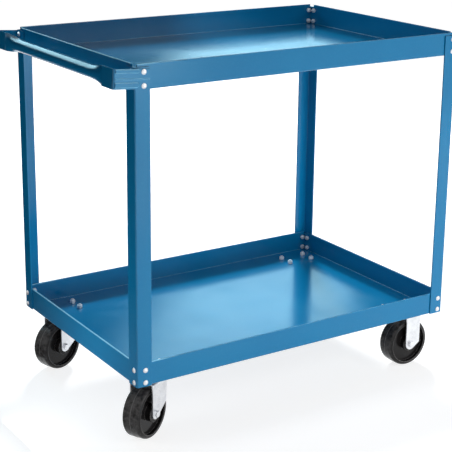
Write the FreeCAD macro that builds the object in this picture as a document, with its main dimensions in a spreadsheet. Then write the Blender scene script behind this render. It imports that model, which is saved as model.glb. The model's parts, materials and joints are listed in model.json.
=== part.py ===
"""Two-tier steel utility cart.

Two lipped trays are bolted inside four angle posts. A formed push handle crosses one end, two swivel
casters stand under that end and two rigid casters under the other.

Millimetres. +Z is up and the floor is Z = 0. X runs along the cart with the handle at -X, and Y runs
across it. The origin is the middle of the whole cart's footprint.
"""
import FreeCAD, Part
import math
import os
import Sketcher
from FreeCAD import Placement, Rotation, Vector
from types import SimpleNamespace

# Driving dimensions: one cell of the sheet each
SIZES = {
    # Whole cart, over the outer faces of the posts
    "cart_length": 914.4,
    "cart_width": 609.6,
    # Angle posts
    "post_height": 734.5,
    "post_flange": 38.1,
    "post_wall": 3.0,
    "post_inside_radius": 1.0,
    # Trays
    "shelf_sheet": 1.9,
    "shelf_inside_radius": 1.1,
    "hem_depth": 10.0,
    "rim_above_post": 7.0,
    "notch_along_sides": 5.5,
    "notch_along_ends": 18.0,
    # Round-head bolts and nuts of the frame, and the room that they keep
    "bolt_diameter": 6.35,
    "bolt_hole_gap": 0.4,
    "bolt_row_gap": 30.2,
    "head_diameter": 12.5,
    "head_height": 4.2,
    "head_rim": 0.8,
    "nut_flats": 11.1,
    "nut_height": 5.6,
    "bolt_end": 3.0,
    "thread_gap": 0.05,
    "nut_floor_gap": 0.95,
    "nut_hem_gap": 1.25,
    "nut_side_gap": 1.1,
    "nut_stagger_gap": 2.1,
    # Push handle
    "handle_reach": 52.0,
    "handle_tilt": 4.2,
    "handle_wall": 2.6,
    "handle_edge": 6.6,
    "handle_end_inset": 1.0,
    "handle_bend": 4.0,
    "block_width": 50.0,
    "grip_blend": 80.0,
    "grip_radius": 15.5,
    "grip_drop": 2.0,
    "upper_bead_height": 8.5,
    "upper_bead_edge": 0.7,
    "lower_bead_height": 11.5,
    "lower_bead_edge": 3.0,
    "bead_rise": 1.8,
    "bead_end_gap": 5.5,
    "rib_height": 3.6,
    "rib_rise": 1.0,
    # Wheels
    "wheel_diameter": 127.0,
    "wheel_width": 48.0,
    "mould_line_height": 0.4,
    "mould_line_width": 1.8,
    "shoulder_radius": 8.6,
    "rim_flat": 1.6,
    "web_width": 26.0,
    "hub_diameter": 42.0,
    "hub_stand": 4.5,
    "hub_side_gap": 0.5,
    # Axle stack
    "axle_diameter": 9.5,
    "axle_gap": 0.1,
    "bush_diameter": 15.9,
    "running_gap": 0.05,
    "bearing_wall": 4.7,
    "bearing_inset": 1.0,
    "axle_flats": 14.3,
    "axle_head": 6.0,
    "axle_nut_height": 8.0,
    "axle_end": 2.5,
    # Caster plates and forks
    "swivel_inset": 74.0,
    "rigid_inset": 82.0,
    "caster_side_inset": 72.0,
    "plate_length": 95.0,
    "plate_wall": 3.0,
    "plate_side": 1.0,
    "plate_corner": 5.0,
    "plate_hole_edge": 9.5,
    "leg_wall": 3.0,
    "fork_bend": 8.0,
    "wheel_clearance": 12.0,
    "caster_trail": 25.0,
    "front_swivel_turn": 28.0,
    "back_swivel_turn": 18.0,
    "swivel_leg_radius": 13.0,
    "swivel_knee_ahead": 31.0,
    "swivel_knee_above": 16.0,
    "swivel_lead": 37.0,
    "rigid_axle_ahead": 18.0,
    "rigid_leg_radius": 16.0,
    "rigid_lead": 13.0,
    "rigid_knee_above": 1.0,
    # Swivel bearing
    "upper_race": 3.4,
    "race_gap": 3.2,
    "lower_race": 4.4,
    "race_radius": 26.0,
    "ball_diameter": 6.35,
    "ball_gap": 0.1,
    "ball_ring_inset": 6.5,
    "kingpin_diameter": 12.7,
    "kingpin_head": 2.4,
    "kingpin_nut_flats": 19.0,
    "kingpin_nut_height": 7.0,
    "kingpin_nut_gap": 0.4,
    "kingpin_end": 1.0,
    # Caster bolts
    "caster_bolt_diameter": 7.94,
    "caster_bolt_hole_gap": 0.4,
    "caster_bolt_flats": 12.7,
    "caster_bolt_head": 5.3,
    "caster_nut_height": 6.8,
    "caster_bolt_end": 3.0,
    "caster_bolt_leg_gap": 0.4,
}

# Balls in each swivel bearing
BALL_COUNT = 14
# A hexagon's corner radius over its half width across flats
HEX_CORNER = 2.0 / math.sqrt(3.0)
# Share of a sheet's thickness that rounds a hem's edges, and of a bead's or rim's height
HEM_ROUNDING = 0.9
# Sections of the handle's blend from flat strip to rolled grip
BLEND_STEPS = 6


class Size:
    """A number together with the sheet expression that gives it."""

    def __init__(self, value, text):
        self.value = value
        self.text = text

    def joined(self, sign, other, value):
        return Size(value, "(%s %s %s)" % (self.text, sign, as_size(other).text))

    def __add__(self, other):
        return self.joined("+", other, self.value + as_size(other).value)

    def __sub__(self, other):
        return self.joined("-", other, self.value - as_size(other).value)

    def __mul__(self, other):
        return self.joined("*", other, self.value * as_size(other).value)

    def __truediv__(self, other):
        return self.joined("/", other, self.value / as_size(other).value)

    def __neg__(self):
        return Size(-self.value, "(0 - %s)" % self.text)


def as_size(number):
    if isinstance(number, Size):
        return number
    return Size(float(number), "%.9f" % number)


def cosine(degrees):
    return Size(math.cos(math.radians(degrees.value)), "cos(%s * 1 deg)" % degrees.text)


def sine(degrees):
    return Size(math.sin(math.radians(degrees.value)), "sin(%s * 1 deg)" % degrees.text)


doc = FreeCAD.newDocument("utility_cart")
sheet = doc.addObject("Spreadsheet::Sheet", "Sizes")
d = SimpleNamespace()
for row, (name, number) in enumerate(SIZES.items(), start=1):
    sheet.set("A%d" % row, name)
    sheet.set("B%d" % row, str(number))
    sheet.setAlias("B%d" % row, name)
    setattr(d, name, Size(number, "Sizes." + name))
doc.recompute()

# Sizes that follow from the driving ones
ZERO = as_size(0)
post_bend = d.post_inside_radius + d.post_wall
shelf_bend = d.shelf_inside_radius + d.shelf_sheet
shelf_half_x = d.cart_length / 2 - d.post_wall
shelf_half_y = d.cart_width / 2 - d.post_wall
bolt_hole = d.bolt_diameter / 2 + d.bolt_hole_gap
nut_corner = d.nut_flats / 2 * HEX_CORNER
row_low = shelf_bend + d.nut_flats / 2 + d.nut_floor_gap
row_high = row_low + d.bolt_row_gap
lip_height = row_high + d.nut_flats / 2 + d.nut_hem_gap + d.hem_depth
bolt_reach = d.post_wall + d.shelf_sheet + d.nut_height + d.bolt_end
gauge_near = d.post_wall + shelf_bend + nut_corner + d.nut_side_gap
gauge_far = bolt_reach + nut_corner + d.nut_stagger_gap
handle_height = d.bolt_row_gap + d.handle_edge * 2

wheel_radius = d.wheel_diameter / 2
hub_length = d.wheel_width + d.hub_stand * 2
fork_gap = hub_length + d.hub_side_gap * 2
fork_width = fork_gap + d.leg_wall * 2
crown_under = d.wheel_diameter + d.wheel_clearance
crown_top = crown_under + d.leg_wall
lower_race_top = crown_top + d.lower_race
upper_race_under = lower_race_top + d.race_gap
plate_under = upper_race_under + d.upper_race
caster_height = plate_under + d.plate_wall
ball_height = lower_race_top + d.race_gap / 2
ball_ring = d.race_radius - d.ball_ring_inset
plate_width = fork_width + d.plate_side * 2
caster_bolt_x = d.plate_length / 2 - d.plate_hole_edge
caster_bolt_y = fork_gap / 2 - d.caster_bolt_flats / 2 * HEX_CORNER - d.caster_bolt_leg_gap
caster_bolt_hole = d.caster_bolt_diameter / 2 + d.caster_bolt_hole_gap
swivel_x = d.swivel_inset - d.cart_length / 2
rigid_x = d.cart_length / 2 - d.rigid_inset
caster_y = d.cart_width / 2 - d.caster_side_inset
axle_hole = d.axle_diameter / 2 + d.axle_gap
bearing_bore = d.bush_diameter / 2 + d.running_gap
bearing_radius = bearing_bore + d.bearing_wall
kingpin_hole = d.kingpin_diameter / 2 + d.running_gap

# The tilted handle reaches further from the posts than the bolt heads at the other end do
handle_front = gauge_far + d.handle_reach
handle_out = handle_front * cosine(d.handle_tilt) + handle_height / 2 * sine(d.handle_tilt) - gauge_far
centre_x = (handle_out - d.head_height) / 2
lower_shelf_z = caster_height
top_shelf_z = caster_height + d.post_height + d.rim_above_post - lip_height
handle_z = top_shelf_z + (row_low + row_high) / 2

nodes = []


def bind(thing, prop, size):
    thing.setExpression(prop, as_size(size).text)


def keep(thing, label):
    """Names a finished sub-part, which is then written out."""
    thing.Label = label
    nodes.append(thing)
    return thing


def place(thing, x, y, z, turn=ZERO, axis=Vector(0, 0, 1)):
    """Puts a sub-part at a point of the cart, turned about an axis of its own."""
    at = [as_size(value) for value in (x, y, z)]
    thing.Placement = Placement(Vector(*[size.value for size in at]), Rotation(axis, turn.value))
    for letter, size in zip("xyz", at):
        bind(thing, "Placement.Base." + letter, size)
    if turn is not ZERO:
        bind(thing, "Placement.Rotation.Angle", turn)


# Sketches and features of the bodies
def new_body(label):
    return keep(doc.addObject("PartDesign::Body", label), label)


def sketch_on(body, role, height=None):
    sketch = body.newObject("Sketcher::SketchObject", body.Name + "_sketch")
    plane = next(item for item in body.Origin.OriginFeatures if item.Role == role)
    sketch.AttachmentSupport = [(plane, "")]
    sketch.MapMode = "FlatFace"
    if height is not None:
        sketch.AttachmentOffset = Placement(Vector(0, 0, height.value), Rotation())
        bind(sketch, "AttachmentOffset.Base.z", height)
    return sketch


def hold(sketch, constraint, size):
    """Adds a constraint whose value comes from the sheet."""
    index = sketch.addConstraint(constraint)
    bind(sketch, "Constraints[%d]" % index, size)


def pin(sketch, geometry, point, x=None, y=None):
    """Holds a point of a sketch at its coordinates from the sketch's origin."""
    for kind, axis, size in (("DistanceX", -2, x), ("DistanceY", -1, y)):
        if size is ZERO:
            sketch.addConstraint(Sketcher.Constraint("PointOnObject", geometry, point, axis))
        elif size is not None:
            hold(sketch, Sketcher.Constraint(kind, -1, 1, geometry, point, size.value), size)


def polygon(sketch, corners):
    first = sketch.GeometryCount
    count = len(corners)
    points = [Vector(x.value, y.value, 0) for x, y in corners]
    for i in range(count):
        sketch.addGeometry(Part.LineSegment(points[i], points[(i + 1) % count]), False)
    for i in range(count):
        sketch.addConstraint(Sketcher.Constraint("Coincident", first + i, 2, first + (i + 1) % count, 1))
    for i, (x, y) in enumerate(corners):
        pin(sketch, first + i, 1, x, y)


def rectangle(sketch, left, low, right, high):
    polygon(sketch, [(left, low), (right, low), (right, high), (left, high)])


def circle(sketch, x, y, radius):
    centre = Vector(x.value, y.value, 0)
    index = sketch.addGeometry(Part.Circle(centre, Vector(0, 0, 1), radius.value), False)
    pin(sketch, index, 3, x, y)
    hold(sketch, Sketcher.Constraint("Radius", index, radius.value), radius)


def pad(body, sketch, length, symmetric=False):
    feature = body.newObject("PartDesign::Pad", body.Name + "_pad")
    feature.Profile = sketch
    feature.SideType = "Symmetric" if symmetric else "One side"
    bind(feature, "Length", length)
    doc.recompute()
    return feature


def pocket(body, sketch, depth=None, symmetric=False, other_way=False):
    """Cuts a sketch to a depth, or right through, and makes sure that it cut something."""
    before = body.Shape.Volume
    feature = body.newObject("PartDesign::Pocket", body.Name + "_pocket")
    feature.Profile = sketch
    feature.SideType = "Symmetric" if symmetric else "One side"
    feature.Reversed = other_way
    if depth is None:
        feature.Type = "ThroughAll"
    else:
        bind(feature, "Length", depth)
    doc.recompute()
    if body.Shape.Volume > before - 0.01:
        raise RuntimeError("a pocket of %s cuts nothing" % body.Label)
    return feature


def edge_names(shape, wanted):
    names = ["Edge%d" % (i + 1) for i, edge in enumerate(shape.Edges) if wanted(edge)]
    if not names:
        raise RuntimeError("no edge to round")
    return names


def fillet(body, radius, wanted):
    """Rounds the edges of a body's last feature that a test picks out."""
    base = body.Tip
    feature = body.newObject("PartDesign::Fillet", body.Name + "_fillet")
    feature.Base = (base, edge_names(base.Shape, wanted))
    bind(feature, "Radius", radius)
    doc.recompute()
    return feature


def near(a, b):
    return abs(a - b) < 1e-4


def upright(edge):
    box = edge.BoundBox
    return box.ZLength > 1 and box.XLength < 1e-4 and box.YLength < 1e-4


def level_at(z):
    """A test for edges that lie in the level plane at a height."""
    return lambda edge: near(edge.BoundBox.ZMin, z) and near(edge.BoundBox.ZMax, z)


# Solids of the fasteners, seated at the origin with the head or nut along +Z
def turned(outline):
    """A solid of revolution about Z from a closed outline of edges in the XZ plane."""
    return Part.Face(Part.Wire(outline)).revolve(Vector(), Vector(0, 0, 1), 360)


def path(points):
    corners = [Vector(x, 0, z) for x, z in points]
    return [Part.LineSegment(a, b).toShape() for a, b in zip(corners, corners[1:])]


def round_head_bolt(length):
    radius = d.head_diameter.value / 2
    rim = d.head_rim.value
    crown = d.head_height.value
    cap = crown - rim
    ball = (radius ** 2 + cap ** 2) / (2 * cap)
    lean = math.asin(radius / ball) / 2
    shoulder = Vector(ball * math.sin(lean), 0, crown - ball + ball * math.cos(lean))
    dome = Part.Arc(Vector(0, 0, crown), shoulder, Vector(radius, 0, rim))
    shank = d.bolt_diameter.value / 2
    rest = path([(radius, rim), (radius, 0), (shank, 0), (shank, -length), (0, -length), (0, crown)])
    return turned([dome.toShape()] + rest)


def hexagon(flats, height):
    """A hexagonal prism with two of its flats square to Y, its top corners chamfered."""
    corner = flats / 2 * HEX_CORNER
    angles = [math.radians(60 * i) for i in range(7)]
    ring = [Vector(corner * math.cos(a), corner * math.sin(a), 0) for a in angles]
    block = Part.Face(Part.makePolygon(ring)).extrude(Vector(0, 0, height))
    chamfer_base = height - (corner - flats / 2)
    side = [(0, 0), (corner, 0), (corner, chamfer_base), (flats / 2, height), (0, height), (0, 0)]
    return block.common(turned(path(side)))


def nut(flats, height, bore):
    hole = Part.makeCylinder(bore, height * 3, Vector(0, 0, -height))
    return hexagon(flats, height).cut(hole)


def hex_bolt(flats, head, diameter, length):
    shank = Part.makeCylinder(diameter / 2, length, Vector(0, 0, -length))
    return hexagon(flats, head).fuse(shank).removeSplitter()


def seated(solid, point, out, up=Vector(0, 0, 1)):
    """A copy of a fastener moved to its seat, pointing out, one flat kept square to up."""
    copy = solid.copy()
    copy.Placement = Placement(point, Rotation(up.cross(out), up, out, "ZYX"))
    return copy


def group(label, solids):
    """One node of separate solids, kept about the cart's middle."""
    thing = doc.addObject("Part::Feature", label)
    thing.Shape = Part.makeCompound(solids)
    place(thing, centre_x, ZERO, ZERO)
    return keep(thing, label)


# Trays
def bolt_circles(sketch, across, rows):
    for x in across:
        for row in rows:
            circle(sketch, x, row, bolt_hole)


def make_shelf(label, height, for_casters):
    body = new_body(label)
    plan = sketch_on(body, "XY_Plane")
    rectangle(plan, -shelf_half_x, -shelf_half_y, shelf_half_x, shelf_half_y)
    pad(body, plan, lip_height)
    fillet(body, shelf_bend, upright)
    bends = fillet(body, shelf_bend, level_at(0))

    # Hollowed to sheet thickness, open at the top
    top = lip_height.value
    faces = ["Face%d" % (i + 1) for i, face in enumerate(bends.Shape.Faces) if near(face.BoundBox.ZMin, top)]
    pan = body.newObject("PartDesign::Thickness", label + "_pan")
    pan.Base = (bends, faces)
    pan.Join = "Arc"
    pan.Reversed = True
    bind(pan, "Value", d.shelf_sheet)
    doc.recompute()

    # Rim folded flat against the inside of the lips
    wall_x = shelf_half_x - d.shelf_sheet
    wall_y = shelf_half_y - d.shelf_sheet
    hem_x = wall_x - d.shelf_sheet
    hem_y = wall_y - d.shelf_sheet
    hem = sketch_on(body, "XY_Plane", lip_height - d.hem_depth)
    rectangle(hem, -wall_x, -wall_y, wall_x, wall_y)
    rectangle(hem, -hem_x, -hem_y, hem_x, hem_y)
    pad(body, hem, d.hem_depth)

    # Corners left open above the posts
    notch = sketch_on(body, "XY_Plane", lip_height)
    in_x = shelf_half_x - d.notch_along_sides
    in_y = shelf_half_y - d.notch_along_ends
    out_x = shelf_half_x + d.notch_along_sides
    out_y = shelf_half_y + d.notch_along_ends
    rectangle(notch, in_x, in_y, out_x, out_y)
    rectangle(notch, -out_x, in_y, -in_x, out_y)
    rectangle(notch, -out_x, -out_y, -in_x, -in_y)
    rectangle(notch, in_x, -out_y, out_x, -in_y)
    pocket(body, notch, d.rim_above_post)
    at_rim = level_at(top)
    hem_end = d.shelf_sheet.value * 2
    fillet(body, d.shelf_sheet * HEM_ROUNDING, lambda edge: at_rim(edge) and edge.Length > hem_end * 2)

    # Bolt holes: staggered between the two lips of each corner
    rows = (row_low, row_high)
    long_lips = sketch_on(body, "XZ_Plane")
    bolt_circles(long_lips, (gauge_far - d.cart_length / 2, d.cart_length / 2 - gauge_near), rows)
    pocket(body, long_lips, symmetric=True)
    for gauge, other_way in ((gauge_near, False), (gauge_far, True)):
        end_lip = sketch_on(body, "YZ_Plane")
        bolt_circles(end_lip, (gauge - d.cart_width / 2, d.cart_width / 2 - gauge), rows)
        pocket(body, end_lip, other_way=other_way)
    if for_casters:
        floor_holes = sketch_on(body, "XY_Plane")
        for middle_x in (swivel_x, rigid_x):
            for middle_y in (-caster_y, caster_y):
                plate_holes(floor_holes, middle_x, middle_y)
        pocket(body, floor_holes, symmetric=True)
    place(body, centre_x, ZERO, height)


def plate_holes(sketch, middle_x, middle_y):
    """The four bolt holes of one caster plate."""
    for x in (middle_x - caster_bolt_x, middle_x + caster_bolt_x):
        for y in (middle_y - caster_bolt_y, middle_y + caster_bolt_y):
            circle(sketch, x, y, caster_bolt_hole)


make_shelf("top_shelf", top_shelf_z, for_casters=False)
make_shelf("lower_shelf", lower_shelf_z, for_casters=True)


# Posts: the outer corner of the angle is the body's origin
def make_post(label, corner_x, corner_y, turn, gauge_x, gauge_y):
    body = new_body(label)
    angle = sketch_on(body, "XY_Plane")
    polygon(angle, [
        (ZERO, ZERO),
        (d.post_flange, ZERO),
        (d.post_flange, d.post_wall),
        (d.post_wall, d.post_wall),
        (d.post_wall, d.post_flange),
        (ZERO, d.post_flange),
    ])
    pad(body, angle, d.post_height)
    inside = d.post_wall.value
    fillet(body, d.post_inside_radius, lambda edge: upright(edge) and near(edge.BoundBox.XMin, inside)
           and near(edge.BoundBox.YMin, inside))
    fillet(body, post_bend, lambda edge: upright(edge) and near(edge.BoundBox.XMin, 0)
           and near(edge.BoundBox.YMin, 0))
    upper = top_shelf_z - lower_shelf_z
    rows = (row_low, row_high, upper + row_low, upper + row_high)
    along_x = sketch_on(body, "XZ_Plane")
    bolt_circles(along_x, (gauge_x,), rows)
    pocket(body, along_x, symmetric=True)
    along_y = sketch_on(body, "YZ_Plane")
    bolt_circles(along_y, (gauge_y,), rows)
    pocket(body, along_y, symmetric=True)
    place(body, centre_x + corner_x, corner_y, lower_shelf_z, as_size(turn))


left = -(d.cart_length / 2)
right = d.cart_length / 2
front = -(d.cart_width / 2)
back = d.cart_width / 2
make_post("front_left_post", left, front, 0, gauge_far, gauge_near)
make_post("front_right_post", right, front, 90, gauge_far, gauge_near)
make_post("back_right_post", right, back, 180, gauge_near, gauge_far)
make_post("back_left_post", left, back, 270, gauge_near, gauge_far)


# Push handle: one strip, bent round the corners and rolled in the middle. Its origin is midway between
# the two rows of its bolts, and the strip tilts up from there.
def strip_section(y, roll):
    """The strip's cross-section at y, from flat at roll 0 to the rolled grip at roll 1."""
    height = handle_height.value
    wall = d.handle_wall.value
    front_x = -handle_front.value
    if roll == 0:
        corners = [(0, -height / 2), (0, height / 2), (wall, height / 2), (wall, -height / 2)]
        return Part.makePolygon([Vector(front_x + x, y, z) for x, z in corners + corners[:1]])
    wrap = roll * height / (d.grip_radius.value - wall / 2)
    outer = height / wrap + wall / 2
    inner = outer - wall
    middle_x = front_x + outer
    middle_z = -d.grip_drop.value * roll

    def point(radius, angle):
        return Vector(middle_x - radius * math.cos(angle), y, middle_z + radius * math.sin(angle))

    outside = Part.Arc(point(outer, -wrap / 2), point(outer, 0), point(outer, wrap / 2)).toShape()
    inside = Part.Arc(point(inner, wrap / 2), point(inner, 0), point(inner, -wrap / 2)).toShape()
    upper = Part.LineSegment(point(outer, wrap / 2), point(inner, wrap / 2)).toShape()
    lower = Part.LineSegment(point(inner, -wrap / 2), point(outer, -wrap / 2)).toShape()
    return Part.Wire([outside, upper, inside, lower])


def roll_at(share):
    """How far the strip is rolled along its blend: quickly at the crease, then easing into the grip."""
    return 1 - (1 - share) ** 2


def stadium(start_x, end_x, z, height, rise, y):
    """A raised bead along an arm, square at its start and round at its end, its crest rounded."""
    half = height / 2
    low = Vector(start_x, y, z - half)
    high = Vector(start_x, y, z + half)
    low_end = Vector(end_x - half, y, z - half)
    high_end = Vector(end_x - half, y, z + half)
    tip = Part.Arc(low_end, Vector(end_x, y, z), high_end).toShape()
    lines = [Part.LineSegment(a, b).toShape() for a, b in ((low, low_end), (high_end, high), (high, low))]
    bead = Part.Face(Part.Wire([lines[0], tip, lines[1], lines[2]])).extrude(Vector(0, -rise, 0))
    crest = [edge for edge in bead.Edges if near(edge.BoundBox.YMax, y - rise)]
    return bead.makeFillet(rise * HEM_ROUNDING, crest)


def handle_end():
    """One arm with its end block and blend, on the front side of the cart, not yet tilted or drilled."""
    height = handle_height.value
    wall = d.handle_wall.value
    front_x = -handle_front.value
    end_x = d.post_flange.value - gauge_far.value - d.handle_end_inset.value
    inner_y = front.value
    outer_y = inner_y - wall
    block_y = outer_y + d.block_width.value
    plan = [(end_x, outer_y), (front_x, outer_y), (front_x, block_y), (front_x + wall, block_y),
            (front_x + wall, inner_y), (end_x, inner_y), (end_x, outer_y)]
    band = Part.Face(Part.makePolygon([Vector(x, y, -height / 2) for x, y in plan]))
    arm = band.extrude(Vector(0, 0, height))
    corners = {(front_x, outer_y): d.handle_bend.value, (front_x + wall, inner_y): d.handle_bend.value - wall}
    for (x, y), radius in corners.items():
        bent = [edge for edge in arm.Edges if upright(edge) and near(edge.BoundBox.XMin, x)
                and near(edge.BoundBox.YMin, y)]
        arm = arm.makeFillet(radius, bent)

    # Beads that stop short of the bolts, and a rib between them
    bead_start = front_x + d.handle_bend.value
    bead_end = -d.head_diameter.value / 2 - d.bead_end_gap.value
    upper = d.upper_bead_height.value
    lower = d.lower_bead_height.value
    upper_z = height / 2 - d.upper_bead_edge.value - upper / 2
    lower_z = d.lower_bead_edge.value + lower / 2 - height / 2
    rise = d.bead_rise.value
    arm = arm.fuse(stadium(bead_start, bead_end, upper_z, upper, rise, outer_y))
    arm = arm.fuse(stadium(bead_start, bead_end, lower_z, lower, rise, outer_y))
    arm = arm.fuse(stadium(bead_start, end_x, 0, d.rib_height.value, d.rib_rise.value, outer_y))

    sections = []
    for step in range(BLEND_STEPS + 1):
        share = step / BLEND_STEPS
        sections.append(strip_section(block_y + share * d.grip_blend.value, roll_at(share)))
    return arm.fuse(Part.makeLoft(sections, True, False))


def make_handle():
    near_end = handle_end()
    far_end = near_end.mirror(Vector(), Vector(0, 1, 0))
    start_y = front.value - d.handle_wall.value + d.block_width.value + d.grip_blend.value
    grip = Part.Face(strip_section(start_y, 1)).extrude(Vector(0, -2 * start_y, 0))
    strip = near_end.fuse([grip, far_end]).removeSplitter()
    strip.rotate(Vector(), Vector(0, 1, 0), d.handle_tilt.value)
    width = d.cart_width.value + d.handle_wall.value * 4
    across = Vector(0, 1, 0)
    for z in (-d.bolt_row_gap.value / 2, d.bolt_row_gap.value / 2):
        strip = strip.cut(Part.makeCylinder(bolt_hole.value, width, Vector(0, -width / 2, z), across))
    thing = doc.addObject("Part::Feature", "push_handle")
    thing.Shape = strip
    place(thing, centre_x + left + gauge_far, ZERO, handle_z)
    keep(thing, "push_handle")


make_handle()


# Frame bolts: outer face of the post, or of the handle, to the tray's inside
def corner_seats(base_z, side_x, end_flange):
    """Seats of the bolts of one tray along one end's flanges, each with its outward direction."""
    end_gauge, long_gauge = (gauge_near, gauge_far) if side_x < 0 else (gauge_far, gauge_near)
    half_x = d.cart_length.value / 2
    half_y = d.cart_width.value / 2
    seats = []
    for side_y in (-1, 1):
        for row in (row_low, row_high):
            z = base_z.value + row.value
            if end_flange:
                point = Vector(side_x * half_x, side_y * (half_y - end_gauge.value), z)
                seats.append((point, Vector(side_x, 0, 0)))
            else:
                point = Vector(side_x * (half_x - long_gauge.value), side_y * half_y, z)
                seats.append((point, Vector(0, side_y, 0)))
    return seats


def bolt_up(prefix, seats, extra=0.0):
    """Bolts on their seats, extra wall under the head, and nuts inside the tray's lip."""
    bolt = round_head_bolt(bolt_reach.value + extra)
    bore = d.bolt_diameter.value / 2 + d.thread_gap.value
    one_nut = nut(d.nut_flats.value, d.nut_height.value, bore)
    inward = d.post_wall.value + d.shelf_sheet.value
    group(prefix + "_bolts", [seated(bolt, point + out * extra, out) for point, out in seats])
    group(prefix + "_nuts", [seated(one_nut, point - out * inward, -out) for point, out in seats])


top_seats = (corner_seats(top_shelf_z, -1, True) + corner_seats(top_shelf_z, 1, True)
             + corner_seats(top_shelf_z, 1, False))
bolt_up("top_shelf", top_seats)
bolt_up("handle", corner_seats(top_shelf_z, -1, False), d.handle_wall.value)
low_seats = []
for side in (-1, 1):
    low_seats += corner_seats(lower_shelf_z, side, True) + corner_seats(lower_shelf_z, side, False)
bolt_up("lower_shelf", low_seats)


# Caster bolts: heads under the plates, nuts on the lower tray's floor
def make_caster_bolts():
    clamped = d.plate_wall.value + d.shelf_sheet.value
    length = clamped + d.caster_nut_height.value + d.caster_bolt_end.value
    flats = d.caster_bolt_flats.value
    bolt = hex_bolt(flats, d.caster_bolt_head.value, d.caster_bolt_diameter.value, length)
    bore = d.caster_bolt_diameter.value / 2 + d.thread_gap.value
    one_nut = nut(flats, d.caster_nut_height.value, bore)
    up = Vector(0, 0, 1)
    ahead = Vector(0, 1, 0)
    floor = caster_height.value + d.shelf_sheet.value
    bolts = []
    nuts = []
    for middle_x in (swivel_x, rigid_x):
        for side_y in (-1, 1):
            for step_x in (-1, 1):
                for step_y in (-1, 1):
                    x = middle_x.value + step_x * caster_bolt_x.value
                    y = side_y * caster_y.value + step_y * caster_bolt_y.value
                    bolts.append(seated(bolt, Vector(x, y, plate_under.value), -up, ahead))
                    nuts.append(seated(one_nut, Vector(x, y, floor), up, ahead))
    group("caster_bolts", bolts)
    group("caster_nuts", nuts)


make_caster_bolts()


# Turned pieces from primitives, along their own Z
def cylinder(radius, height, base=ZERO):
    thing = doc.addObject("Part::Cylinder", "cylinder")
    bind(thing, "Radius", radius)
    bind(thing, "Height", height)
    bind(thing, "Placement.Base.z", base)
    return thing


def prism(flats, height, base=ZERO):
    thing = doc.addObject("Part::Prism", "prism")
    thing.Polygon = 6
    bind(thing, "Circumradius", flats / 2 * HEX_CORNER)
    bind(thing, "Height", height)
    bind(thing, "Placement.Base.z", base)
    return thing


def fused(label, things):
    fuse = doc.addObject("Part::MultiFuse", label)
    fuse.Shapes = things
    fuse.Refine = True
    return keep(fuse, label)


def drilled(label, solid, hole):
    cut = doc.addObject("Part::Cut", label)
    cut.Base = solid
    cut.Tool = hole
    return keep(cut, label)


AXLE_TURN = as_size(90)
AXLE_AXIS = Vector(-1, 0, 0)


class Caster:
    """Where a caster stands, how far its axle is from its middle and how far it is turned."""

    def __init__(self, prefix, x, y, axle_x, turn):
        self.prefix = prefix
        self.x = centre_x + x
        self.y = y
        self.axle_x = axle_x
        self.turn = turn

    def name(self, piece):
        return self.prefix + "_" + piece

    def stand(self, thing):
        """Puts a piece that is drawn about the caster's middle."""
        place(thing, self.x, self.y, ZERO, self.turn)

    def on_axle(self, thing, along):
        """Puts a piece that is drawn along +Z onto the axle, its base at a distance along the axle."""
        middle = Placement(Vector(self.x.value, self.y.value, 0), Rotation(Vector(0, 0, 1), self.turn.value))
        lying = Placement(Vector(self.axle_x.value, along.value, wheel_radius.value),
                          Rotation(AXLE_AXIS, AXLE_TURN.value))
        thing.Placement = middle.multiply(lying)
        ahead = cosine(self.turn)
        aside = sine(self.turn)
        bind(thing, "Placement.Base.x", self.x + self.axle_x * ahead - along * aside)
        bind(thing, "Placement.Base.y", self.y + self.axle_x * aside + along * ahead)
        bind(thing, "Placement.Base.z", wheel_radius)


def leg_outline(sketch, axle_x, end_radius, lead, knee_ahead, knee_above, top):
    """A leg seen from the side: upright behind, round under the axle, slanting up to a knee in front."""
    axle = Vector(axle_x.value, wheel_radius.value, 0)
    radius = end_radius.value
    knee = Vector(knee_ahead.value, wheel_radius.value + knee_above.value, 0)
    reach = knee - axle
    bearing = math.atan2(reach.y, reach.x) - math.acos(radius / reach.Length)
    touch = axle + Vector(math.cos(bearing), math.sin(bearing), 0) * radius
    heel = axle - Vector(radius, 0, 0)
    heel_top = Vector(heel.x, top.value, 0)
    lead_top = Vector(lead.value, top.value, 0)
    corners = [heel, heel_top, lead_top, knee, touch]
    for a, b in zip(corners, corners[1:]):
        sketch.addGeometry(Part.LineSegment(a, b), False)
    low = axle + Vector(math.cos((bearing - math.pi) / 2), math.sin((bearing - math.pi) / 2), 0) * radius
    sketch.addGeometry(Part.Arc(heel, low, touch), False)
    heel_line, top_line, lead_line, slant, arc = range(5)
    for a, b in ((heel_line, top_line), (top_line, lead_line), (lead_line, slant)):
        sketch.addConstraint(Sketcher.Constraint("Coincident", a, 2, b, 1))
    sketch.addConstraint(Sketcher.Constraint("Tangent", arc, 1, heel_line, 1))
    sketch.addConstraint(Sketcher.Constraint("Tangent", arc, 2, slant, 2))
    sketch.addConstraint(Sketcher.Constraint("Vertical", heel_line))
    pin(sketch, arc, 3, axle_x, wheel_radius)
    hold(sketch, Sketcher.Constraint("Radius", arc, radius), end_radius)
    pin(sketch, heel_line, 2, None, top)
    pin(sketch, top_line, 2, lead, top)
    pin(sketch, slant, 1, knee_ahead, wheel_radius + knee_above)


def open_fork(body, axle_x, under):
    """Cuts the wheel's slot from below and drills the legs for the axle."""
    slot = sketch_on(body, "YZ_Plane")
    rectangle(slot, -(fork_gap / 2), -wheel_radius, fork_gap / 2, under)
    pocket(body, slot, symmetric=True)
    axle = sketch_on(body, "XZ_Plane")
    circle(axle, axle_x, wheel_radius, axle_hole)
    pocket(body, axle, symmetric=True)


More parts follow.
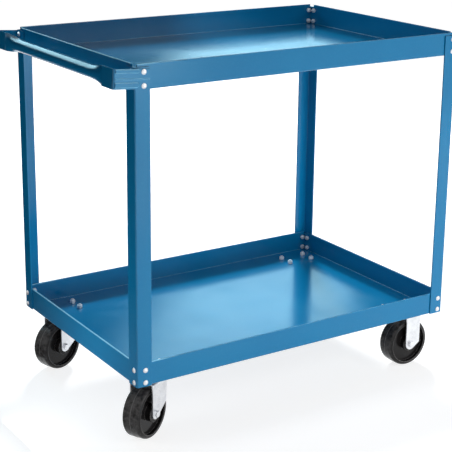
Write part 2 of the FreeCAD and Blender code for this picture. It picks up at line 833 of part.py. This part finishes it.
def race_groove(body):
    """The ring that the balls run in, cut into a race's face."""
    ring = sketch_on(body, "XZ_Plane")
    circle(ring, ball_ring, ball_height, d.ball_diameter / 2 + d.ball_gap)
    before = body.Shape.Volume
    groove = body.newObject("PartDesign::Groove", body.Name + "_groove")
    groove.Profile = ring
    groove.ReferenceAxis = (ring, ["V_Axis"])
    groove.Angle = 360
    doc.recompute()
    if body.Shape.Volume > before - 0.01:
        raise RuntimeError("the race of %s cuts nothing" % body.Label)


def plate_pad(body):
    plan = sketch_on(body, "XY_Plane", plate_under)
    half_x = d.plate_length / 2
    rectangle(plan, -half_x, -(plate_width / 2), half_x, plate_width / 2)
    pad(body, plan, d.plate_wall)
    fillet(body, d.plate_corner, upright)


def drill_plate(body):
    holes = sketch_on(body, "XY_Plane", caster_height)
    plate_holes(holes, ZERO, ZERO)
    pocket(body, holes, d.plate_wall)


def make_swivel_plate(caster):
    body = new_body(caster.name("caster_plate"))
    plate_pad(body)
    race = sketch_on(body, "XY_Plane", upper_race_under)
    circle(race, ZERO, ZERO, d.race_radius)
    pad(body, race, d.upper_race)
    drill_plate(body)
    bore = sketch_on(body, "XY_Plane", caster_height)
    circle(bore, ZERO, ZERO, kingpin_hole)
    pocket(body, bore)
    sink = sketch_on(body, "XZ_Plane")
    rim = kingpin_hole + d.kingpin_head
    sink_base = caster_height - d.kingpin_head
    polygon(sink, [(ZERO, caster_height), (rim, caster_height), (kingpin_hole, sink_base), (ZERO, sink_base)])
    countersink = body.newObject("PartDesign::Groove", body.Name + "_countersink")
    countersink.Profile = sink
    countersink.ReferenceAxis = (sink, ["V_Axis"])
    countersink.Angle = 360
    doc.recompute()
    race_groove(body)
    place(body, caster.x, caster.y, ZERO)


def make_kingpin(caster):
    nut_top = crown_under - d.kingpin_nut_gap
    low = nut_top - d.kingpin_nut_height - d.kingpin_end
    head_base = caster_height - d.kingpin_head
    shank = cylinder(d.kingpin_diameter / 2, head_base - low, low)
    head = doc.addObject("Part::Cone", "cone")
    bind(head, "Radius1", d.kingpin_diameter / 2)
    bind(head, "Radius2", d.kingpin_diameter / 2 + d.kingpin_head)
    bind(head, "Height", d.kingpin_head)
    bind(head, "Placement.Base.z", head_base)
    place(fused(caster.name("kingpin"), [shank, head]), caster.x, caster.y, ZERO)
    block = prism(d.kingpin_nut_flats, d.kingpin_nut_height, nut_top - d.kingpin_nut_height)
    hole = cylinder(d.kingpin_diameter / 2 + d.thread_gap, caster_height)
    place(drilled(caster.name("kingpin_nut"), block, hole), caster.x, caster.y, ZERO)


def make_swivel_fork(caster):
    body = new_body(caster.name("fork"))
    side = sketch_on(body, "XZ_Plane")
    leg_outline(side, caster.axle_x, d.swivel_leg_radius, caster.axle_x + d.swivel_leg_radius + d.swivel_lead,
                caster.axle_x + d.swivel_leg_radius + d.swivel_knee_ahead, d.swivel_knee_above, crown_top)
    pad(body, side, fork_width, symmetric=True)
    open_fork(body, caster.axle_x, crown_under)
    outside = (crown_top.value, fork_width.value / 2, d.fork_bend)
    inside = (crown_under.value, fork_gap.value / 2, d.fork_bend - d.leg_wall)
    for z, y, radius in (outside, inside):
        at_height = level_at(z)
        fillet(body, radius, lambda edge: at_height(edge) and near(abs(edge.BoundBox.Center.y), y)
               and edge.BoundBox.YLength < 1e-4)
    race = sketch_on(body, "XY_Plane", crown_under)
    circle(race, ZERO, ZERO, d.race_radius)
    pad(body, race, d.leg_wall + d.lower_race)
    bore = sketch_on(body, "XY_Plane", lower_race_top)
    circle(bore, ZERO, ZERO, kingpin_hole)
    pocket(body, bore, d.leg_wall + d.lower_race)
    race_groove(body)
    caster.stand(body)


def make_rigid_fork(caster):
    body = new_body(caster.name("fork"))
    plate_pad(body)
    drill_plate(body)
    side = sketch_on(body, "XZ_Plane")
    lead = caster.axle_x + d.rigid_leg_radius + d.rigid_lead
    leg_outline(side, caster.axle_x, d.rigid_leg_radius, lead, lead, d.rigid_knee_above, plate_under)
    pad(body, side, fork_width, symmetric=True)
    open_fork(body, caster.axle_x, plate_under)
    caster.stand(body)


def make_balls(caster):
    ball = Part.makeSphere(d.ball_diameter.value / 2)
    balls = []
    for i in range(BALL_COUNT):
        copy = ball.copy()
        angle = 2 * math.pi * i / BALL_COUNT
        ring = ball_ring.value
        copy.translate(Vector(ring * math.cos(angle), ring * math.sin(angle), ball_height.value))
        balls.append(copy)
    thing = doc.addObject("Part::Feature", caster.name("swivel_balls"))
    thing.Shape = Part.makeCompound(balls)
    caster.stand(thing)
    keep(thing, caster.name("swivel_balls"))


def make_axle(caster):
    half = fork_width / 2
    length = fork_width + d.axle_nut_height + d.axle_end
    shank = cylinder(d.axle_diameter / 2, length, d.axle_head)
    head = prism(d.axle_flats, d.axle_head)
    caster.on_axle(fused(caster.name("axle_bolt"), [head, shank]), -half - d.axle_head)
    block = prism(d.axle_flats, d.axle_nut_height)
    hole = cylinder(d.axle_diameter / 2 + d.thread_gap, d.axle_nut_height)
    caster.on_axle(drilled(caster.name("axle_nut"), block, hole), half)
    sleeve = cylinder(d.bush_diameter / 2, fork_gap)
    caster.on_axle(drilled(caster.name("axle_bush"), sleeve, cylinder(axle_hole, fork_gap)), -(fork_gap / 2))


def make_wheel(caster):
    body = new_body(caster.name("wheel"))
    profile = sketch_on(body, "XZ_Plane")
    tread = wheel_radius - d.mould_line_height
    rim = tread - d.shoulder_radius - d.rim_flat
    half_hub = hub_length / 2
    half_web = d.web_width / 2
    half_rim = d.wheel_width / 2
    half_line = d.mould_line_width / 2
    hub = d.hub_diameter / 2
    side = [(half_line, wheel_radius), (half_line, tread), (half_rim, tread), (half_rim, rim),
            (half_web, rim), (half_web, hub), (half_hub, hub), (half_hub, bearing_radius)]
    other = [(-along, radius) for along, radius in reversed(side)]
    polygon(profile, [(radius, along + half_hub) for along, radius in side + other])
    spun = body.newObject("PartDesign::Revolution", body.Name + "_spun")
    spun.Profile = profile
    spun.ReferenceAxis = (profile, ["V_Axis"])
    spun.Angle = 360
    doc.recompute()
    middle = half_hub.value

    def ring_at(radius, along):
        def wanted(edge):
            box = edge.BoundBox
            level = near(abs(box.ZMin - middle), along.value) and box.ZLength < 1e-4
            return level and near(box.XMax, radius.value)
        return wanted

    fillet(body, d.shoulder_radius, ring_at(tread, half_rim))
    fillet(body, d.rim_flat * HEM_ROUNDING, ring_at(rim, half_rim))
    caster.on_axle(body, -half_hub)
    sleeve = cylinder(bearing_radius, hub_length - d.bearing_inset * 2)
    bore = cylinder(bearing_bore, hub_length)
    caster.on_axle(drilled(caster.name("wheel_bearing"), sleeve, bore), d.bearing_inset - half_hub)


sides = (("front", -caster_y, d.front_swivel_turn), ("back", caster_y, d.back_swivel_turn))
for side_name, side_y, swivel_turn in sides:
    swivel = Caster(side_name + "_left", swivel_x, side_y, -d.caster_trail, swivel_turn)
    make_swivel_plate(swivel)
    make_kingpin(swivel)
    make_swivel_fork(swivel)
    make_balls(swivel)
    rigid = Caster(side_name + "_right", rigid_x, side_y, d.rigid_axle_ahead, ZERO)
    make_rigid_fork(rigid)
    for caster in (swivel, rigid):
        make_axle(caster)
        make_wheel(caster)

doc.recompute()

# Nothing is written unless every object is sound
for thing in doc.Objects:
    if "Invalid" in thing.State or "Error" in thing.State:
        raise RuntimeError("%s failed: %s" % (thing.Label, thing.State))
for thing in nodes:
    if thing.Shape.isNull() or not thing.Shape.isValid():
        raise RuntimeError("%s has no sound shape" % thing.Label)

os.makedirs("parts", exist_ok=True)
for thing in nodes:
    thing.Shape.exportStep("parts/%s.step" % thing.Label)
    print("%-28s solids %2d  volume %9.0f" % (thing.Label, len(thing.Shape.Solids), thing.Shape.Volume))
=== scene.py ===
import bpy
import json
import math
from mathutils import Euler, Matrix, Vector


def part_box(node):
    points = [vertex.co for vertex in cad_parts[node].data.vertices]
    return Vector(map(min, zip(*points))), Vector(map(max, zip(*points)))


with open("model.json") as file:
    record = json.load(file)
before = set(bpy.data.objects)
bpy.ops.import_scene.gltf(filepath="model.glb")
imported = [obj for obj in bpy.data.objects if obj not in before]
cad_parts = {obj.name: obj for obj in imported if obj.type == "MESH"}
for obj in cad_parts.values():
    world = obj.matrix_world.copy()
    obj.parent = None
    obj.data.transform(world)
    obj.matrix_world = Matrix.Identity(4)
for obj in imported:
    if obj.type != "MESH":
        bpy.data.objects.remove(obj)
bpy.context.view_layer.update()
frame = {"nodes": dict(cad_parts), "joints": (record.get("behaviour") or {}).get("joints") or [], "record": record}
scene = bpy.context.scene

# Surface colours, linear, with alpha
ENAMEL = (0.0022, 0.156, 0.330, 1.0)
ENAMEL_DEEP = (0.0016, 0.142, 0.312, 1.0)
ENAMEL_EDGE = (0.030, 0.260, 0.470, 1.0)
# Painted highlight as well as wear: pale enamel on rubbed edges, rims and beads
ENAMEL_WORN_HIGHLIGHT = (0.220, 0.560, 0.760, 1.0)
# Painted shade as well as grime: dark enamel in corners and crevices
ENAMEL_GRIME_AND_SHADE = (0.002, 0.040, 0.100, 1.0)
ZINC = (0.82, 0.83, 0.85, 1.0)
ZINC_DULL = (0.68, 0.69, 0.72, 1.0)
STEEL = (0.48, 0.48, 0.49, 1.0)
STEEL_DULL = (0.36, 0.36, 0.37, 1.0)
RUBBER = (0.0085, 0.0078, 0.0080, 1.0)
# Dust on the tread, made lighter to stand in for its highlight: partly painted highlight
RUBBER_DUST_AND_HIGHLIGHT = (0.060, 0.057, 0.057, 1.0)
# Painted highlight as well as wear: pale rubber on worn edges, along the mould line and round the recess
RUBBER_WORN_HIGHLIGHT = (0.110, 0.105, 0.105, 1.0)
FLOOR = (0.40, 0.40, 0.40, 1.0)
FLOOR_PALE = (0.43, 0.43, 0.43, 1.0)
FLAG = (0.004, 0.005, 0.007, 1.0)
WHITE = (1.0, 1.0, 1.0, 1.0)

# Lamp colours, linear
NEUTRAL = (1.0, 1.0, 1.0)
COOL = (0.48, 0.85, 1.0)

# Rays that look for edges and crevices near a spot
NEARBY_RAYS = 4

# Refractive indices, which set the gloss
ENAMEL_IOR = 1.43
RUBBER_IOR = 1.28

# How near an edge the enamel is thin, or rubbed and painted with a highlight, and how deep a corner holds grime
# and painted shade, in metres
THIN_EDGE = 0.0011
RUBBED_HIGHLIGHT_EDGE = 0.0024
GRIME_AND_SHADE_REACH = 0.006
# Depth of a tray's round rim, and how far from the handle's end its wear and painted highlight begin to fade and
# are gone
RIM_ROUND = 0.0022
RIM_WEAR_HIGHLIGHT_FULL = 0.02
RIM_WEAR_HIGHLIGHT_GONE = 0.12
# How far the beads stand out of the handle's arms
BEAD_RISE = 0.0018

# How far inside a wheel's radius the tread begins and is full, and the recess in its side lies, in metres
TREAD_BEGINS = 0.0060
TREAD_FULL = 0.0005
RECESS_DEPTH = 0.0106
# Distances from the wheel's middle plane where its side face begins and is full
SIDE_BEGINS = 0.0200
SIDE_FULL = 0.0225
# Half widths of the painted highlights along the mould line and round the recess, where full and where gone
MOULD_FULL = 0.0007
MOULD_GONE = 0.0016
RING_FULL = 0.0008
RING_GONE = 0.0022
# How near an edge the rubber is worn and painted with a highlight, and how much rougher the tread is than the
# sides
WORN_HIGHLIGHT_EDGE = 0.0022
TREAD_ROUGHER = 0.06

# The floor's reach, and the distances from the cart's middle between which its own brightness rises to white
FLOOR_REACH = 30.0
FLOOR_NEAR = 0.8
FLOOR_FAR = 2.6
FLOOR_NEAR_GLOW = 0.82
# A flag's glow close to the cart, and the distances between which it fades
FLAG_GLOW = 0.20
FLAG_NEAR = 0.5
FLAG_FAR = 1.1
# How bright the white world is as light on the cart
WORLD_FILL = 0.05

# Camera at the photograph's place: focal length in picture widths, place in metres, angles in degrees
SENSOR_WIDTH = 36.0
FOCAL_WIDTHS = 2.7738
CAMERA_SHIFT = -0.10
CAMERA_PLACE = (-1.6854, -2.5976, 1.3714)
CAMERA_ANGLES = (74.447, -0.585, -32.786)


# Material building
class Surface:
    """A material with a Principled shader and helpers that add nodes to it."""

    def __init__(self, name, metallic=0.0):
        self.material = bpy.data.materials.new(name)
        self.material.use_nodes = True
        self.tree = self.material.node_tree
        self.shader = self.tree.nodes["Principled BSDF"]
        self.shader.inputs["Metallic"].default_value = metallic
        self.place = self.node("ShaderNodeTexCoord").outputs["Object"]

    def feed(self, socket, value):
        """Links another node's output to an input, or sets the input to a number or colour."""
        if isinstance(value, bpy.types.NodeSocket):
            self.tree.links.new(value, socket)
        else:
            socket.default_value = value

    def node(self, kind, inputs=None, **settings):
        """Adds a node, makes its settings, then feeds its inputs by name or number."""
        made = self.tree.nodes.new(kind)
        for key, value in settings.items():
            setattr(made, key, value)
        for key, value in (inputs or {}).items():
            self.feed(made.inputs[key], value)
        return made

    def noise(self, scale, detail=2.0, rough=0.5):
        inputs = {"Vector": self.place, "Scale": scale, "Detail": detail, "Roughness": rough}
        return self.node("ShaderNodeTexNoise", inputs).outputs["Fac"]

    def spread(self, value, low, high, to_low=0.0, to_high=1.0):
        """Stretches the range from low to high over another one, and holds the ends."""
        inputs = {"Value": value, "From Min": low, "From Max": high, "To Min": to_low, "To Max": to_high}
        return self.node("ShaderNodeMapRange", inputs, clamp=True).outputs["Result"]

    def math(self, operation, a, b=0.0):
        return self.node("ShaderNodeMath", {0: a, 1: b}, operation=operation).outputs["Value"]

    def times(self, a, b):
        return self.math("MULTIPLY", a, b)

    def absolute(self, value):
        return self.math("ABSOLUTE", value)

    def minus(self, a, b):
        """The difference of two vectors."""
        return self.node("ShaderNodeVectorMath", {0: a, 1: b}, operation="SUBTRACT").outputs["Vector"]

    def dot(self, a, b):
        return self.node("ShaderNodeVectorMath", {0: a, 1: b}, operation="DOT_PRODUCT").outputs["Value"]

    def length(self, vector):
        return self.node("ShaderNodeVectorMath", {0: vector}, operation="LENGTH").outputs["Value"]

    def scaled(self, vector, scale):
        inputs = {0: vector, "Scale": scale}
        return self.node("ShaderNodeVectorMath", inputs, operation="SCALE").outputs["Vector"]

    def mix(self, share, a, b):
        """Goes from colour a to colour b as the share goes from 0 to 1."""
        made = self.node("ShaderNodeMix", {"Factor": share}, data_type="RGBA")
        colours = [socket for socket in made.inputs if socket.type == "RGBA"]
        for socket, value in zip(colours, (a, b)):
            self.feed(socket, value)
        return next(socket for socket in made.outputs if socket.type == "RGBA")

    def part(self, vector, axis):
        """One of a vector's three numbers."""
        return self.node("ShaderNodeSeparateXYZ", {"Vector": vector}).outputs[axis]

    def geometry(self, output):
        return self.node("ShaderNodeNewGeometry").outputs[output]

    def edges(self, radius):
        """How sharply the surface bends within a radius: 0 on a flat face, rising at an edge."""
        soft = self.node("ShaderNodeBevel", {"Radius": radius}, samples=NEARBY_RAYS).outputs["Normal"]
        return self.math("SUBTRACT", 1.0, self.dot(soft, self.geometry("True Normal")))

    def level(self, low, high):
        """0 on faces that look sideways, 1 on those that look up or down."""
        return self.spread(self.absolute(self.part(self.geometry("Normal"), "Z")), low, high)

    def crevices(self, reach):
        """How shut in a spot is by other faces within a reach."""
        hollow = self.node("ShaderNodeAmbientOcclusion", {"Distance": reach}, samples=NEARBY_RAYS)
        return self.math("SUBTRACT", 1.0, hollow.outputs["AO"])

    def bump(self, height, strength, distance):
        inputs = {"Strength": strength, "Distance": distance, "Height": height}
        return self.node("ShaderNodeBump", inputs).outputs["Normal"]

    def finish(self, colour, roughness, normal=None):
        self.feed(self.shader.inputs["Base Color"], colour)
        self.feed(self.shader.inputs["Roughness"], roughness)
        if normal is not None:
            self.feed(self.shader.inputs["Normal"], normal)
        return self.material

    def matt(self, colour, glow):
        """A finish with no gloss that shows with a white glow of its own."""
        self.shader.inputs["Specular IOR Level"].default_value = 0.0
        self.shader.inputs["Emission Color"].default_value = WHITE
        self.feed(self.shader.inputs["Emission Strength"], glow)
        return self.finish(colour, roughness=1.0)


# Finishes
def rim_wear_and_highlight(coat, tray):
    """Where a tray is rubbed and painted with a highlight along its rim, at the handle's end."""
    lowest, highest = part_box(tray)
    rim = highest[2]
    end = lowest[0]
    crest = coat.spread(coat.part(coat.place, "Z"), rim - RIM_ROUND, rim - RIM_ROUND / 2)
    along = coat.part(coat.place, "X")
    near = coat.spread(along, end + RIM_WEAR_HIGHLIGHT_FULL, end + RIM_WEAR_HIGHLIGHT_GONE, to_low=1.0, to_high=0.0)
    return coat.times(crest, near)


def bead_wear_and_highlight(coat, handle):
    """Where the handle is rubbed and painted with a highlight, along the sloping edges of its arms' beads."""
    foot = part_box(handle)[1][1] - BEAD_RISE
    aside = coat.absolute(coat.part(coat.place, "Y"))
    return coat.times(coat.spread(aside, foot, foot + BEAD_RISE / 4), coat.level(low=0.15, high=0.45))


def enamel(name, wear_and_highlight=None, node=None):
    """Baked blue enamel on sheet steel: orange peel, faint cloudiness, thin and rubbed edges.

    Rubbed edges that face up or down carry a painted highlight, and corners carry grime and painted shade. A node
    that is rubbed elsewhere too names the function that says where its wear and painted highlight lie.
    """
    coat = Surface(name)
    cloud = coat.spread(coat.noise(scale=5.0, detail=3.0), low=0.35, high=0.65)
    colour = coat.mix(cloud, ENAMEL_DEEP, ENAMEL)
    grain = coat.spread(coat.noise(scale=260.0), low=0.55, high=0.8, to_high=0.12)
    colour = coat.mix(grain, colour, ENAMEL_EDGE)
    thin = coat.spread(coat.edges(THIN_EDGE), low=0.03, high=0.3, to_high=0.5)
    colour = coat.mix(thin, colour, ENAMEL_EDGE)
    # Corners and crevices darken with grime and painted shade
    grime_and_shade = coat.spread(coat.crevices(GRIME_AND_SHADE_REACH), low=0.25, high=0.65, to_high=0.75)
    colour = coat.mix(grime_and_shade, colour, ENAMEL_GRIME_AND_SHADE)
    # Edges that face up or down turn pale: wear and a painted highlight
    rubbed_highlight = coat.spread(coat.edges(RUBBED_HIGHLIGHT_EDGE), low=0.015, high=0.12)
    colour = coat.mix(coat.times(rubbed_highlight, coat.level(low=0.1, high=0.5)), colour, ENAMEL_WORN_HIGHLIGHT)
    # A node's own wear, painted with a highlight, along its rim or its beads
    if wear_and_highlight is not None:
        colour = coat.mix(wear_and_highlight(coat, node), colour, ENAMEL_WORN_HIGHLIGHT)
    wiped = coat.noise(scale=9.0, detail=6.0, rough=0.6)
    roughness = coat.spread(wiped, low=0.3, high=0.75, to_low=0.15, to_high=0.23)
    peel = coat.bump(coat.noise(scale=620.0), strength=0.10, distance=0.0002)
    coat.shader.inputs["IOR"].default_value = ENAMEL_IOR
    return coat.finish(colour, roughness, peel)


def plated(name, bright, dull, smoothest, roughest, metallic=0.92):
    """Zinc plate or ground steel: cloudy sheen and fine scratches."""
    metal = Surface(name, metallic)
    cloud = metal.spread(metal.noise(scale=60.0, detail=4.0), low=0.35, high=0.7)
    colour = metal.mix(cloud, bright, dull)
    sheen = metal.noise(scale=140.0, detail=5.0)
    roughness = metal.spread(sheen, low=0.3, high=0.7, to_low=smoothest, to_high=roughest)
    scratches = metal.bump(metal.noise(scale=900.0, detail=3.0), strength=0.03, distance=0.0001)
    return metal.finish(colour, roughness, scratches)


def rubber(corner):
    """Hard black rubber of one wheel: glossy sides, a dusty tread lightened as a painted highlight, and painted
    highlights along the mould line, round the recess and on worn edges.
    """
    joint = next(item for item in frame["joints"] if item["name"] == corner + "_wheel_spin")
    axis = Vector(joint["axis"])
    centre = Vector(joint["pos_m"])
    # The wheels stand on the floor, so the axle's height is their radius
    wheel_radius = centre.z
    skin = Surface(corner + "_black_rubber")
    arm = skin.minus(skin.place, centre)
    along = skin.dot(arm, axis)
    aside = skin.absolute(along)
    radius = skin.length(skin.minus(arm, skin.scaled(axis, along)))

    tread = skin.spread(radius, wheel_radius - TREAD_BEGINS, wheel_radius - TREAD_FULL)
    # Dusty tread, lightened as a painted highlight
    dust_and_highlight = skin.spread(skin.noise(scale=90.0, detail=6.0, rough=0.65), low=0.36, high=0.62)
    colour = skin.mix(skin.times(tread, dust_and_highlight), RUBBER, RUBBER_DUST_AND_HIGHLIGHT)
    # Painted highlights along the mould line, round the recess and on worn edges
    mould_highlight = skin.spread(aside, MOULD_FULL, MOULD_GONE, to_low=0.8, to_high=0.0)
    colour = skin.mix(skin.times(tread, mould_highlight), colour, RUBBER_WORN_HIGHLIGHT)
    off_ring = skin.absolute(skin.math("SUBTRACT", radius, wheel_radius - RECESS_DEPTH))
    ring_highlight = skin.spread(off_ring, RING_FULL, RING_GONE, to_low=0.8, to_high=0.0)
    side = skin.spread(aside, SIDE_BEGINS, SIDE_FULL)
    colour = skin.mix(skin.times(ring_highlight, side), colour, RUBBER_WORN_HIGHLIGHT)
    worn_and_highlight = skin.spread(skin.edges(WORN_HIGHLIGHT_EDGE), low=0.02, high=0.20, to_high=0.9)
    colour = skin.mix(worn_and_highlight, colour, RUBBER_WORN_HIGHLIGHT)

    gloss = skin.noise(scale=45.0, detail=5.0)
    roughness = skin.spread(gloss, low=0.3, high=0.7, to_low=0.10, to_high=0.18)
    roughness = skin.math("ADD", roughness, skin.times(tread, TREAD_ROUGHER))
    skin.shader.inputs["IOR"].default_value = RUBBER_IOR
    pores = skin.bump(skin.noise(scale=420.0, detail=3.0), strength=0.10, distance=0.0003)
    return skin.finish(colour, roughness, pores)


# Every node of the model keeps its shape and takes one material, which its slot or its name decides
shared = {
    "blue_enamel": enamel("blue_enamel"),
    "bright_zinc": plated("bright_zinc", ZINC, ZINC_DULL, smoothest=0.24, roughest=0.40),
    "bare_steel": plated("bare_steel", STEEL, STEEL_DULL, smoothest=0.18, roughest=0.34),
}
bloomed_zinc = plated("bloomed_zinc", ZINC, ZINC_DULL, smoothest=0.35, roughest=0.50, metallic=0.3)


def material_of(name, slot):
    """The finish of one node."""
    if slot == "black_rubber":
        return rubber(name.replace("_wheel", ""))
    if name.endswith("_shelf"):
        return enamel(name + "_enamel", rim_wear_and_highlight, name)
    if name == "push_handle":
        return enamel(name + "_enamel", bead_wear_and_highlight, name)
    if name.endswith("_nuts"):
        return bloomed_zinc
    return shared[slot]


slots = {item["node"]: item["material_slot"] for item in frame["record"]["subparts"]}
for name, thing in frame["nodes"].items():
    thing.data.materials.clear()
    thing.data.materials.append(material_of(name, slots[name]))
    for face in thing.data.polygons:
        face.material_index = 0


# The floor and the world look white, or nearly so, to the camera and in reflections, and light the cart less
def background_rays(tree):
    """1 for rays that show the background: straight, mirrored or through glass."""
    path = tree.nodes.new("ShaderNodeLightPath")
    shown = path.outputs["Is Camera Ray"]
    for kind in ("Is Glossy Ray", "Is Transmission Ray"):
        either = tree.nodes.new("ShaderNodeMath")
        either.operation = "MAXIMUM"
        tree.links.new(shown, either.inputs[0])
        tree.links.new(path.outputs[kind], either.inputs[1])
        shown = either.outputs["Value"]
    return shown


def lying(left, right, near, far, height=0.0):
    """Corners of a level rectangle."""
    return [(left, near, height), (right, near, height), (right, far, height), (left, far, height)]


def standing(left, right, depth, top):
    """Corners of an upright rectangle on the floor, behind the cart."""
    return [(left, depth, 0.0), (right, depth, 0.0), (right, depth, top), (left, depth, top)]


def card(name, corners, material):
    """A flat piece of the studio."""
    mesh = bpy.data.meshes.new(name)
    mesh.from_pydata(corners, [], [(0, 1, 2, 3)])
    mesh.materials.append(material)
    thing = bpy.data.objects.new(name, mesh)
    scene.collection.objects.link(thing)
    return thing


def floor():
    """A pale floor whose own brightness is lower round the cart, so that its shadow shows."""
    pale = Surface("pale_floor")
    lift = pale.spread(pale.length(pale.place), FLOOR_NEAR, FLOOR_FAR, to_low=FLOOR_NEAR_GLOW)
    glow = pale.times(lift, background_rays(pale.tree))
    pale.matt(pale.mix(pale.noise(scale=1.5), FLOOR, FLOOR_PALE), glow)
    return card("floor", lying(-FLOOR_REACH, FLOOR_REACH, -FLOOR_REACH, FLOOR_REACH), pale.material)


def flag(name, corners):
    """A dark card that only reflections show, as a studio flag keeps glare off glossy sides."""
    dark = Surface(name)
    away = dark.length(dark.place)
    dark.matt(FLAG, dark.spread(away, FLAG_NEAR, FLAG_FAR, to_low=FLAG_GLOW, to_high=0.0))
    thing = card(name, corners, dark.material)
    thing.visible_camera = False
    thing.visible_diffuse = False
    thing.visible_transmission = False
    thing.visible_shadow = False


ground = floor()
flag("left_flag", lying(left=-5.0, right=-0.47, near=-0.25, far=7.0, height=0.003))
flag("back_flag", standing(left=-4.0, right=9.0, depth=4.3, top=3.6))

world = bpy.data.worlds.new("studio")
scene.world = world
world.use_nodes = True
background = world.node_tree.nodes["Background"]
background.inputs["Color"].default_value = WHITE
strength = world.node_tree.nodes.new("ShaderNodeMapRange")
strength.inputs["To Min"].default_value = WORLD_FILL
strength.inputs["To Max"].default_value = 1.0
world.node_tree.links.new(background_rays(world.node_tree), strength.inputs["Value"])
world.node_tree.links.new(strength.outputs["Result"], background.inputs["Strength"])

# A lamp that is linked to this collection lights everything but the floor
all_but_floor = bpy.data.collections.new("all_but_floor")
all_but_floor.objects.link(ground)
all_but_floor.collection_objects[0].light_linking.link_state = "EXCLUDE"


def softbox(name, place, target, size, watts, mirrored=True, colour=NEUTRAL, on_floor=True):
    """A flat lamp that points at a target. One that is not mirrored shows in no reflection."""
    lamp = bpy.data.lights.new(name, "AREA")
    lamp.shape = "RECTANGLE"
    lamp.size, lamp.size_y = size
    lamp.energy = watts
    lamp.color = colour
    thing = bpy.data.objects.new(name, lamp)
    thing.location = place
    thing.rotation_euler = (Vector(target) - Vector(place)).to_track_quat("-Z", "Y").to_euler()
    thing.visible_camera = False
    thing.visible_glossy = mirrored
    if not on_floor:
        thing.light_linking.receiver_collection = all_but_floor
    scene.collection.objects.link(thing)


# Lamps above and in front
softbox("overhead", place=(0.9, 0.0, 3.0), target=(0.1, 0.1, 0.5), size=(1.4, 1.2), watts=4)
softbox("over_front", place=(0.9, -2.4, 1.75), target=(0.1, 0.1, 0.6), size=(1.8, 0.7), watts=19)
softbox("front_bounce", place=(0.4, -1.75, 0.05), target=(0.1, 0.0, 0.45), size=(3.0, 0.6), watts=60,
        mirrored=False, on_floor=False)
softbox("front_panel", place=(1.2, -3.6, 0.32), target=(-0.3, -0.3, 0.86), size=(0.7, 0.45), watts=5.8,
        colour=COOL)
softbox("left_bounce", place=(-0.66, -0.1, 0.03), target=(-0.43, -0.1, 0.20), size=(0.2, 1.3), watts=3.8,
        mirrored=False)

# Lamps behind: a key that no surface mirrors, and two whose sheen lies on the trays and the grip
softbox("back_key", place=(1.95, 3.0, 2.25), target=(0.1, 0.0, 0.5), size=(0.6, 0.6), watts=205,
        mirrored=False)
softbox("back_top", place=(-0.9, 3.0, 2.35), target=(-0.4, 0.0, 0.9), size=(2.6, 0.7), watts=34,
        colour=COOL)
softbox("back_right", place=(2.65, 4.0, 2.15), target=(0.2, 0.0, 0.2), size=(1.6, 1.1), watts=20,
        colour=COOL)

# Small lamps over the trays
softbox("tray_fill", place=(0.05, 0.05, 1.02), target=(0.48, 0.05, 0.86), size=(0.45, 0.1), watts=0.5,
        mirrored=False)
softbox("shelf_fill", place=(0.14, -0.12, 0.66), target=(0.14, -0.119, 0.1), size=(0.4, 0.2), watts=1.1,
        mirrored=False)

# Camera
camera = bpy.data.cameras.new("camera")
camera.sensor_width = SENSOR_WIDTH
camera.lens = FOCAL_WIDTHS * SENSOR_WIDTH
camera.shift_y = CAMERA_SHIFT
viewer = bpy.data.objects.new("camera", camera)
viewer.location = CAMERA_PLACE
viewer.rotation_euler = Euler([math.radians(angle) for angle in CAMERA_ANGLES])
scene.collection.objects.link(viewer)
scene.camera = viewer
scene.view_settings.view_transform = "Standard"
